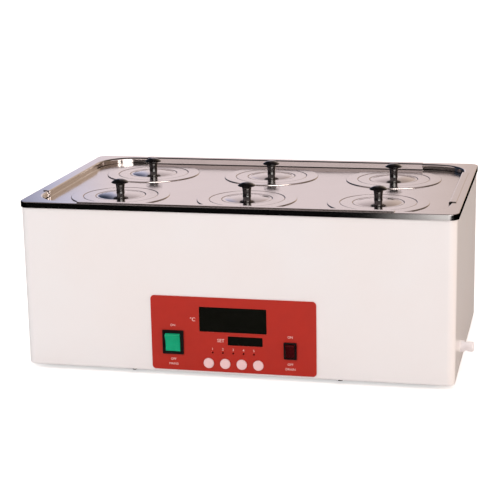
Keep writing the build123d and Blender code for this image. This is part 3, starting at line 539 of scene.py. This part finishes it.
    def floor(self, scene):
        """A white floor that keeps the bath's shadow and looks dark in the polished steel, except a painted
        glow.
        """
        bpy.ops.mesh.primitive_plane_add(size=12, location=(0, 0, 0))
        floor = bpy.context.object
        floor.name = "floor"
        made, tree, shader = material("matt_white_floor", "#F2EFEE", 0.9)
        rays = add(tree, "ShaderNodeLightPath")
        output = tree.nodes["Material Output"]
        glow = add(tree, "ShaderNodeEmission", sockets={"Color": (1, 1, 1, 1), "Strength": 0.55})
        lit = add(tree, "ShaderNodeAddShader", {0: shader.outputs[0], 1: glow.outputs[0]})
        seen = add(tree, "ShaderNodeMixShader", {"Fac": rays.outputs["Is Camera Ray"],
                                                 1: shader.outputs[0], 2: lit.outputs[0]})
        place = add(tree, "ShaderNodeTexCoord")
        axes = add(tree, "ShaderNodeSeparateXYZ", {"Vector": place.outputs["Object"]})
        # Painted glow for glossy rays only: a floor patch ahead of the bath, brighter to the right, mirrored
        # as the lip's highlight
        bright = add(tree, "ShaderNodeMapRange", {"Value": axes.outputs["X"]},
                     interpolation_type="SMOOTHSTEP",
                     sockets={"From Min": 0.02, "From Max": 0.19, "To Min": 0.004, "To Max": 1.1})
        ahead = add(tree, "ShaderNodeMapRange", {"Value": axes.outputs["Y"]},
                    sockets={"From Min": -0.95, "From Max": -1.02, "To Min": 0.0, "To Max": 1.0})
        painted_glow_patch = add(tree, "ShaderNodeMath", {0: bright.outputs["Result"], 1: ahead.outputs["Result"]},
                    operation="MULTIPLY")
        # The floor as the steel sees it: dark, but for the painted glow patch
        dark = add(tree, "ShaderNodeEmission", {"Strength": painted_glow_patch.outputs[0]},
                   sockets={"Color": (1, 1, 1, 1)})
        whole = add(tree, "ShaderNodeMixShader", {"Fac": rays.outputs["Is Glossy Ray"],
                                                  1: seen.outputs[0], 2: dark.outputs[0]})
        tree.links.new(whole.outputs[0], output.inputs["Surface"])
        floor.data.materials.append(made)


class BATH_OT_case(bpy.types.Operator):
    """The enamelled case, its covers, feet and screws"""
    bl_idname = "bath.case"
    bl_label = "Case"

    def execute(self, context):
        enamel = baked_enamel("white_stove_enamel", colours().enamel, "#F3F0F0")
        zinc = satin_steel("zinc_plated_steel", "#B9BABD")
        rubber = moulded_plastic("black_nitrile_rubber", "#161616", "#0E0E0E", 0.75, grain_mm=0.9,
                                 depth_mm=0.03)
        dressed("outer_case", enamel, "bath", "case_wrap")
        dressed("rear_cover", enamel, "bath", "rear_cover_sheet")
        dressed("base_plate", zinc, "bath", "base_sheet")
        dressed("case_screws", satin_steel("stainless_screws", "#C4C3C2", 0.25), "bath",
                "case_screw_set")
        dressed("rubber_feet", rubber, "bath", "moulded_feet")
        return {"FINISHED"}


class BATH_OT_tank(bpy.types.Operator):
    """The pressed tank and what stands in it"""
    bl_idname = "bath.tank"
    bl_label = "Tank"

    def execute(self, context):
        steel = polished_stainless("polished_tank_stainless", colours().steel, 0.09, 0.25)
        sheath = satin_steel("oxidised_heater_sheath", "#77716B", 0.42)
        mesh = merged_copy("tank")
        self.crisp_lip(mesh)
        steady(finished("pressed_tank", mesh, steel, "bath", replaces=("tank",),
                        crease=25))
        dressed("tank_shelf", satin_steel("brushed_shelf_stainless", "#C9C6C4", 0.28), "shelf",
                "perforated_shelf")
        dressed("heater", sheath, "bath", "heater_tube")
        dressed("temperature_probe", satin_steel("drawn_probe_stainless", "#BDBAB7", 0.2), "bath",
                "probe_sheath")
        dressed("floor_fittings", satin_steel("turned_brass", "#C9A358", 0.3), "bath",
                "brass_fittings")
        coloured("insulation", mineral_wool("pressed_mineral_wool"))
        return {"FINISHED"}

    def crisp_lip(self, mesh):
        """Draws the outer face of the turned-down lip's bend in to a tighter one."""
        low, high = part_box("tank")
        centre = (low + high) / 2
        half = (high - low) / 2
        corner = FLANGE_CORNER * MM
        bend = LIP_BEND * MM
        for vertex in mesh.vertices:
            x, y = vertex.co.x - centre.x, vertex.co.y - centre.y
            qx, qy = abs(x) - (half.x - corner), abs(y) - (half.y - corner)
            inward = -max(qx - corner, qy - corner) if min(qx, qy) < 0 else corner - hypot(qx, qy)
            down = high.z - vertex.co.z
            if inward > bend or down > bend or hypot(bend - inward, bend - down) < bend - 0.2 * MM:
                continue
            step = inward * (1 - LIP_TIGHT)
            if min(qx, qy) < 0:
                out = Vector((x / abs(x), 0, 0)) if qx > qy else Vector((0, y / abs(y), 0))
            else:
                out = Vector((qx * x / abs(x), qy * y / abs(y), 0)).normalized()
            vertex.co += out * step
            vertex.co.z += down * (1 - LIP_TIGHT)


class BATH_OT_lid(bpy.types.Operator):
    """The lid plate with its hanging strips, and the rings and covers of the six wells"""
    bl_idname = "bath.lid"
    bl_label = "Lid and wells"

    def execute(self, context):
        plate = polished_stainless("polished_lid_stainless", colours().steel, 0.14, 0.5)
        ring = polished_stainless("pressed_ring_stainless", colours().steel, 0.13, 0.35)
        phenolic = moulded_plastic("black_phenolic", colours().knob, "#141212", 0.12, ior=1.58, coat=0.6,
                                   coat_roughness=0.05, grain_mm=9, depth_mm=0.0015)
        mesh = merged_copy("lid_plate")
        self.lean_strips(mesh)
        steady(finished("folded_lid_plate", mesh, plate, "lid", replaces=("lid_plate",),
                        crease=25))
        for well in WELLS:
            low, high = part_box(f"outer_ring_{well}")
            self.well(well, (low + high) / 2, ring, phenolic)
        return {"FINISHED"}

    def lean_strips(self, mesh):
        """Leans the long hanging strips inwards towards their foot, as sprung strips stand."""
        low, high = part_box("lid_plate")
        middle = (low.y + high.y) / 2
        half = (high.y - low.y) / 2 - STRIP_REACH * MM
        top = high.z - RING_SHEET * MM
        for vertex in mesh.vertices:
            aside = vertex.co.y - middle
            if vertex.co.z < top and abs(aside) > half - STRIP_BAND * MM:
                shift = (top - vertex.co.z) * tan(radians(STRIP_LEAN))
                vertex.co.y -= shift if aside > 0 else -shift

    def well(self, well, centre, ring, phenolic):
        """The nested rings, the domed cover and the knob of one well, turned about its axis."""
        for size, finish_name in (("outer", "large"), ("inner", "small")):
            node = f"{size}_ring_{well}"
            low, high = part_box(node)
            bottom, top = low.z / MM, high.z / MM
            rim = (high.x - low.x) / 2 / MM
            seat = RING_SEATS[size]
            step = top - RING_STEP
            bore = RING_BORES[size]
            outline = [(rim, top - RING_SHEET), (rim, top), (seat, top), (seat, step), (bore, step),
                       (bore, bottom), (seat + RING_SHEET, bottom), (seat + RING_SHEET, top - RING_SHEET)]
            mesh = lathe(rounded(outline, {1: 0.7, 2: 0.45, 3: 0.3, 4: 0.3, 5: 0.3}), centre)
            steady(finished(f"{finish_name}_ring_{well}", mesh, ring, node,
                            replaces=(node,)))
        self.cover(well, centre, ring)
        self.knob(well, centre, phenolic)

    def cover(self, well, centre, ring):
        """A pressed cover: rolled rim and a shallow dome under the knob."""
        node = f"cover_{well}"
        low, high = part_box(node)
        bottom = low.z / MM
        r = (high.x - low.x) / 2 / MM
        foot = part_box(f"knob_{well}")[0].z / MM
        rim = r - COVER_RIM
        land = COVER_LAND
        rise = foot - bottom - RING_SHEET
        span = rim ** 2 - land ** 2
        radii = [rim + (land - rim) * i / 12 for i in range(13)]
        dome = [(q, rise * (rim ** 2 - q ** 2) / span) for q in radii]
        top = bottom + RING_SHEET
        outline = [(r, bottom), (r, bottom + 0.6), (r - 0.4, top), (rim + 0.6, top)]
        outline += [(q, top + h) for q, h in dome] + [(STUD_R, foot), (STUD_R, high.z / MM), (0, high.z / MM)]
        outline += [(0, foot - RING_SHEET)] + [(q, bottom + h) for q, h in dome[::-1]]
        finished(f"domed_cover_{well}", lathe(outline, centre), ring, node,
                 replaces=(node,), crease=35)

    def knob(self, well, centre, phenolic):
        """A mushroom knob with a waisted stem, a thin rim and a domed cap, hollow for its stud."""
        node = f"knob_{well}"
        low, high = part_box(node)
        z, top = low.z / MM, high.z / MM
        cap = (high.x - low.x) / 2 / MM
        rim = top - KNOB_CROWN
        radius = (cap ** 2 + KNOB_CROWN ** 2) / (2 * KNOB_CROWN)
        crown = [(cap * sin(a), top - radius + (radius ** 2 - (cap * sin(a)) ** 2) ** 0.5)
                 for a in [pi / 2 * (1 - i / 12) for i in range(13)]]
        stem = [(r, z + h) for r, h in KNOB_STEM]
        stem += [(cap - CAP_EDGE, z + CAP_EDGE_H), (cap, rim - CAP_EDGE / 2)]
        bore = STUD_R + THREAD_PLAY
        outline = [(0, z + STUD_HOLE_H), (bore, z + STUD_HOLE_H), (bore, z)] + stem + crown
        finished(f"mushroom_knob_{well}", lathe(outline, centre, 64), phenolic, f"cover_{well}",
                 replaces=(node,), crease=40)


class BATH_OT_panel(bpy.types.Operator):
    """The control panel, its displays, lamps, keys and switches"""
    bl_idname = "bath.panel"
    bl_label = "Control panel"

    def execute(self, context):
        red = moulded_plastic("red_polyester_overlay", colours().panel, "#B4281B", 0.34, grain_mm=0.5,
                              depth_mm=0.008)
        window = moulded_plastic("smoked_acrylic_window", "#131410", "#0C0D09", 0.2, ior=1.49)
        keycap = moulded_plastic("pale_key_plastic", "#F6D6D8", "#EECBCD", 0.4)
        black = moulded_plastic("black_switch_nylon", "#0E0D0D", "#171616", 0.36)
        green = moulded_plastic("green_polycarbonate", colours().power, "#0E9E72", 0.2, ior=1.58)
        dark_red = moulded_plastic("dark_red_polycarbonate", colours().drain, "#2E0308", 0.2, ior=1.58)
        ink = printed_ink("white_screen_ink", "#F6DCD8", "#EFC9C4")
        lamp = moulded_plastic("dark_lamp_lens", "#5A0E0C", "#430807", 0.2)
        dressed("control_panel", red, "bath", "overlay_plate", bevel_mm=0.25)
        dressed("process_display", window, "bath", "large_window")
        dressed("setpoint_display", window, "bath", "small_window")
        dressed("indicator_lamps", lamp, "bath", "lamp_lenses")
        for key in KEYS:
            dressed(key, keycap, key, f"{key}_cap")
        dressed("power_switch", black, "bath", "power_bezel", bevel_mm=0.2)
        dressed("power_rocker", green, "power_lever", "green_rocker", bevel_mm=0.35)
        dressed("outlet_switch", black, "bath", "drain_bezel", bevel_mm=0.2)
        dressed("outlet_rocker", dark_red, "outlet_lever", "red_rocker", bevel_mm=0.3)
        self.print_words(ink)
        return {"FINISHED"}

    def print_words(self, ink):
        """Plain words and numbers in white ink round the displays and switches."""
        low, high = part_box("control_panel")
        middle = (low + high) / 2
        front = low.y - 0.02 * MM
        heights = {"small": sizes().small_print, "large": sizes().large_print}
        numbers = [(f"lamp_number_{i + 1}", str(i + 1), (i - LAMP_COUNT // 2) * LAMP_PITCH, LAMP_NUMBER_Z,
                    "small", 1.0) for i in range(LAMP_COUNT)]
        for name, text, x, z, kind, share in [*PANEL_WORDS, *numbers]:
            at = (middle.x + x * MM, front, middle.z + z * MM)
            lettering(name, text, heights[kind] * share, at, ink, "bath")


class BATH_OT_drain(bpy.types.Operator):
    """The drain nozzle, valve and hose"""
    bl_idname = "bath.drain"
    bl_label = "Drain"

    def execute(self, context):
        nylon = moulded_plastic("natural_white_nylon", "#FAF9FC", "#F4F3F8", 0.35, ior=1.53)
        hose = moulded_plastic("milky_silicone", "#CFCCC6", "#C2BEB6", 0.4)
        valve = moulded_plastic("black_valve_nylon", "#1A1A1B", "#121213", 0.5)
        dressed("drain_nozzle", nylon, "bath", "hose_nozzle")
        dressed("drain_hose", hose, "bath", "bent_hose")
        dressed("drain_valve", valve, "bath", "solenoid_valve")
        return {"FINISHED"}


class BATH_OT_inside(bpy.types.Operator):
    """The electrical parts under the tank, and the rear fittings"""
    bl_idname = "bath.inside"
    bl_label = "Electrical parts"

    def execute(self, context):
        gland = moulded_plastic("black_polyamide", "#191919", "#121212", 0.42)
        dressed("mains_gland", gland, "bath", "cord_gland")
        dressed("fuse_holder", gland, "bath", "fuse_socket")
        dressed("fuse_cap", gland, "fuse_carrier", "fuse_lid")
        coloured("controller_board", moulded_plastic("green_solder_mask", "#12502C", "#0C3D20", 0.35))
        coloured("power_supply", satin_steel("perforated_aluminium", "#B4B6B8", 0.35))
        coloured("heat_sink", satin_steel("extruded_aluminium", "#BFC0C3", 0.3))
        coloured("heater_relay", moulded_plastic("black_relay_housing", "#202022", "#171719", 0.45))
        coloured("terminal_strip", moulded_plastic("ivory_polyamide", "#D9D3C0", "#CEC7B2", 0.5))
        coloured("thermal_cutout", moulded_plastic("brown_phenolic", "#3A2419", "#2D1B12", 0.4))
        return {"FINISHED"}


class BATH_PT_panel(bpy.types.Panel):
    bl_label = "Water bath"
    bl_idname = "BATH_PT_panel"
    bl_space_type = "VIEW_3D"
    bl_region_type = "UI"
    bl_category = "Water bath"

    def draw(self, context):
        for group in (context.scene.bath_colours, context.scene.bath_sizes):
            for name in group.__annotations__:
                self.layout.prop(group, name)
        for operator in OPERATORS:
            self.layout.operator(operator.bl_idname)


OPERATORS = (BATH_OT_stage, BATH_OT_case, BATH_OT_tank, BATH_OT_lid, BATH_OT_panel, BATH_OT_drain,
             BATH_OT_inside)
CLASSES = (BathColours, BathSizes, *OPERATORS, BATH_PT_panel)


def register():
    for each in CLASSES:
        bpy.utils.register_class(each)
    bpy.types.Scene.bath_colours = bpy.props.PointerProperty(type=BathColours)
    bpy.types.Scene.bath_sizes = bpy.props.PointerProperty(type=BathSizes)


def unregister():
    del bpy.types.Scene.bath_sizes
    del bpy.types.Scene.bath_colours
    for each in reversed(CLASSES):
        bpy.utils.unregister_class(each)


def main():
    register()
    for name in ("stage", "case", "tank", "lid", "panel", "drain", "inside"):
        getattr(bpy.ops.bath, name)()


if __name__ == "__main__":
    main()
